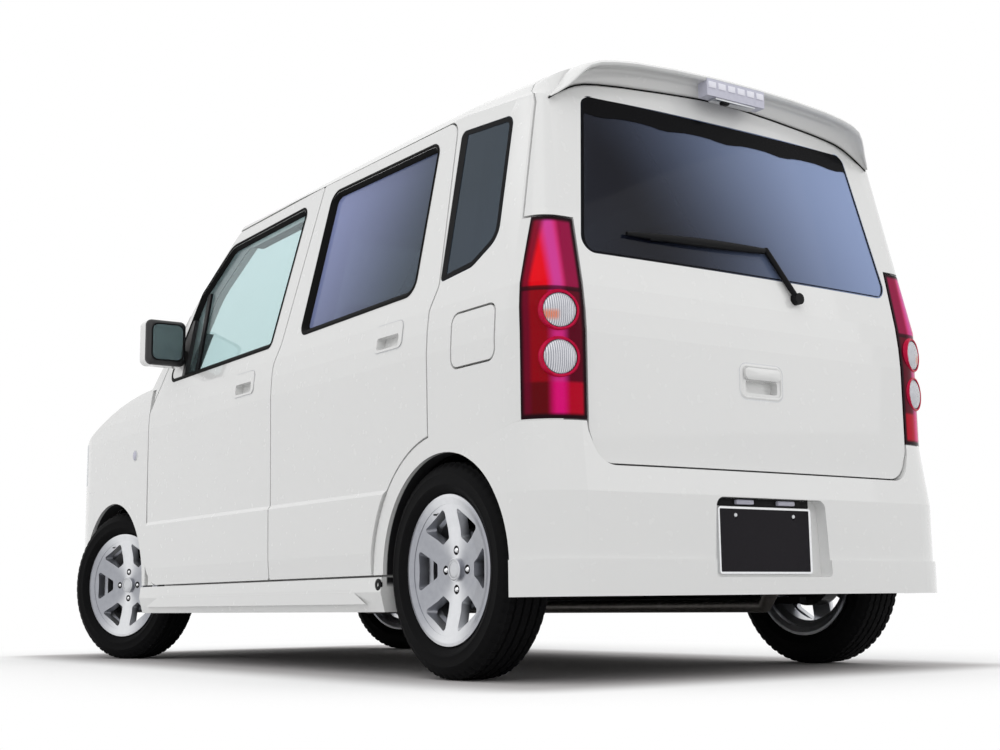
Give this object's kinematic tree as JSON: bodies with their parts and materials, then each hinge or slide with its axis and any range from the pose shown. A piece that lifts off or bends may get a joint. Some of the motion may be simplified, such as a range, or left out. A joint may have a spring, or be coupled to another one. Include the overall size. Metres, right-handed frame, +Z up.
{
  "type": "kei car",
  "caption": "Tall five-door kei car with opening doors, tailgate, bonnet and fuel flap, steered front wheels and rolling wheels.",
  "frame": {"origin": "on the ground under the middle of the car's length and width", "axes": "+X forward, +Y to the car's left, +Z up"},
  "size_m": [3.395, 1.7, 1.635],
  "materials": {
    "body_paint": "pearl white gloss",
    "clear_glass": "clear, green tint",
    "privacy_glass": "dark privacy tint",
    "red_lens": "clear red",
    "clear_lens": "clear",
    "black_plastic": "satin black",
    "cabin_plastic": "grained",
    "underbody_steel": "black satin",
    "engine_metal": "cast",
    "exhaust_steel": "dull",
    "alloy": "silver lacquer",
    "tyre_rubber": "black",
    "seat_cloth": "grey weave",
    "plate_metal": "blank black"
  },
  "bodies": {
    "body": {"body_side_left": "body_paint", "body_side_right": "body_paint", "quarter_glasses": "privacy_glass", "tail_lamps": "red_lens", "rear_bumper": "body_paint", "roof_panel": "body_paint", "windscreen": "clear_glass", "front_fenders": "body_paint", "headlamps": "clear_lens", "front_bumper": "body_paint", "front_grille": "black_plastic", "nose_panel": "body_paint", "cowl_panel": "black_plastic", "floor_pan": "underbody_steel", "front_suspension": "underbody_steel", "rear_axle": "underbody_steel", "front_seats": "seat_cloth", "rear_seat": "seat_cloth", "dashboard": "cabin_plastic", "steering_wheel": "cabin_plastic", "side_skirts": "body_paint", "exhaust": "exhaust_steel", "engine_block": "engine_metal", "fuel_tank": "underbody_steel", "number_plate": "plate_metal"},
    "knuckle_left": {"knuckle_left": "underbody_steel"},
    "knuckle_right": {"knuckle_right": "underbody_steel"},
    "wheel_front_left": {"wheel_front_left": "alloy", "tyre_front_left": "tyre_rubber"},
    "wheel_front_right": {"wheel_front_right": "alloy", "tyre_front_right": "tyre_rubber"},
    "wheel_rear_left": {"wheel_rear_left": "alloy", "tyre_rear_left": "tyre_rubber"},
    "wheel_rear_right": {"wheel_rear_right": "alloy", "tyre_rear_right": "tyre_rubber"},
    "front_door_left": {"front_door_left": "body_paint", "front_door_frame_left": "body_paint", "front_door_glass_left": "clear_glass", "mirror_left": "body_paint"},
    "front_door_right": {"front_door_right": "body_paint", "front_door_frame_right": "body_paint", "front_door_glass_right": "clear_glass", "mirror_right": "body_paint"},
    "rear_door_left": {"rear_door_left": "body_paint", "rear_door_frame_left": "body_paint", "rear_door_glass_left": "privacy_glass"},
    "rear_door_right": {"rear_door_right": "body_paint", "rear_door_frame_right": "body_paint", "rear_door_glass_right": "privacy_glass"},
    "tailgate": {"tailgate": "body_paint", "tailgate_glass": "privacy_glass", "rear_spoiler": "body_paint", "high_mount_lamp": "clear_lens", "rear_wiper": "black_plastic"},
    "bonnet": {"bonnet": "body_paint"},
    "fuel_flap": {"fuel_flap": "body_paint"}
  },
  "joints": [
    {"name": "steer_left", "type": "hinge", "parent": "body", "child": "knuckle_left", "pos_m": [1.1325, 0.54, 0.2785], "axis": [0, 0, 1], "range_deg": [-50, 10]},
    {"name": "steer_right", "type": "hinge", "parent": "body", "child": "knuckle_right", "pos_m": [1.1325, -0.54, 0.2785], "axis": [0, 0, 1], "range_deg": [-50, 10]},
    {"name": "spin_front_left", "type": "hinge", "parent": "knuckle_left", "child": "wheel_front_left", "pos_m": [1.09573, 0.64102, 0.2785], "axis": [-0.342, 0.9397, 0], "continuous": true},
    {"name": "spin_rear_left", "type": "hinge", "parent": "body", "child": "wheel_rear_left", "pos_m": [-1.2275, 0.645, 0.2785], "axis": [0, 1, 0], "continuous": true},
    {"name": "spin_front_right", "type": "hinge", "parent": "knuckle_right", "child": "wheel_front_right", "pos_m": [1.16927, -0.64102, 0.2785], "axis": [-0.342, 0.9397, 0], "continuous": true},
    {"name": "spin_rear_right", "type": "hinge", "parent": "body", "child": "wheel_rear_right", "pos_m": [-1.2275, -0.645, 0.2785], "axis": [0, 1, 0], "continuous": true},
    {"name": "front_door_swing_left", "type": "hinge", "parent": "body", "child": "front_door_left", "pos_m": [0.771, 0.739, 0.65], "axis": [0, 0, -1], "range_deg": [0, 68]},
    {"name": "rear_door_swing_left", "type": "hinge", "parent": "body", "child": "rear_door_left", "pos_m": [-0.244, 0.739, 0.65], "axis": [0, 0, -1], "range_deg": [0, 68]},
    {"name": "front_door_swing_right", "type": "hinge", "parent": "body", "child": "front_door_right", "pos_m": [0.771, -0.739, 0.65], "axis": [0, 0, 1], "range_deg": [0, 68]},
    {"name": "rear_door_swing_right", "type": "hinge", "parent": "body", "child": "rear_door_right", "pos_m": [-0.244, -0.739, 0.65], "axis": [0, 0, 1], "range_deg": [0, 68]},
    {"name": "tailgate_lift", "type": "hinge", "parent": "body", "child": "tailgate", "pos_m": [-1.488, 0, 1.635], "axis": [0, 1, 0], "range_deg": [0, 85]},
    {"name": "bonnet_lift", "type": "hinge", "parent": "body", "child": "bonnet", "pos_m": [0.958, 0, 1.003], "axis": [0, -1, 0], "range_deg": [0, 55]},
    {"name": "fuel_flap_swing", "type": "hinge", "parent": "body", "child": "fuel_flap", "pos_m": [-1.288, 0.731, 0.861], "axis": [0, 0, -1], "range_deg": [0, 80]}
  ],
  "couplings": [
    {"joint": "steer_right", "follows": "steer_left", "ratio": 1}
  ]
}
